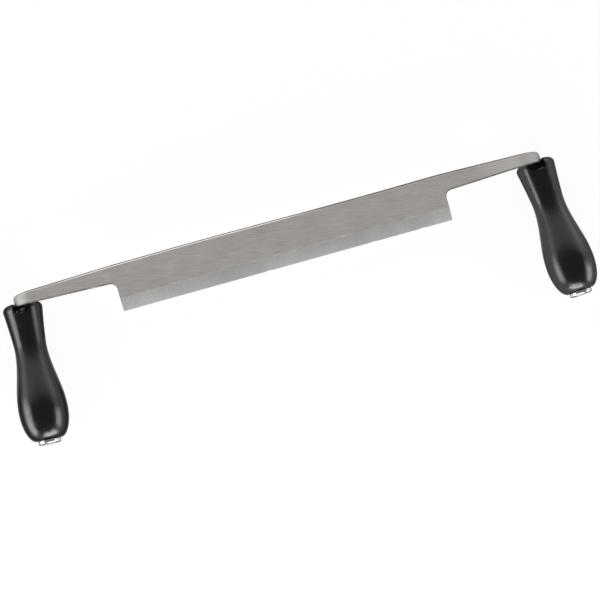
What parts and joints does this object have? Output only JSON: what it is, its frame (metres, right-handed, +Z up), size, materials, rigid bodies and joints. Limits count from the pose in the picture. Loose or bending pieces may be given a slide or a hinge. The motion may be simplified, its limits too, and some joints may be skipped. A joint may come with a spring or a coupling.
{
  "type": "bark scraper",
  "caption": "Straight drawknife for stripping bark: flat bevelled steel blade with slim arms rolled back into turned black handles, held by riveted washers.",
  "frame": {"origin": "on the floor under the middle of the tool's bounding box, as it lies on its handles with the bevel up", "axes": "+X along the blade, +Y from the cutting edge to the spine, +Z up, square out of the bevelled face"},
  "size_m": [0.4392, 0.1134, 0.0363],
  "materials": {
    "ground_steel": "ground, satin",
    "black_lacquer": "black lacquer, satin gloss",
    "bright_steel": "bright, polished"
  },
  "bodies": {
    "root": {"blade": "ground_steel", "left_handle": "black_lacquer", "right_handle": "black_lacquer", "left_rivet_washer": "bright_steel", "right_rivet_washer": "bright_steel"}
  },
  "joints": []
}
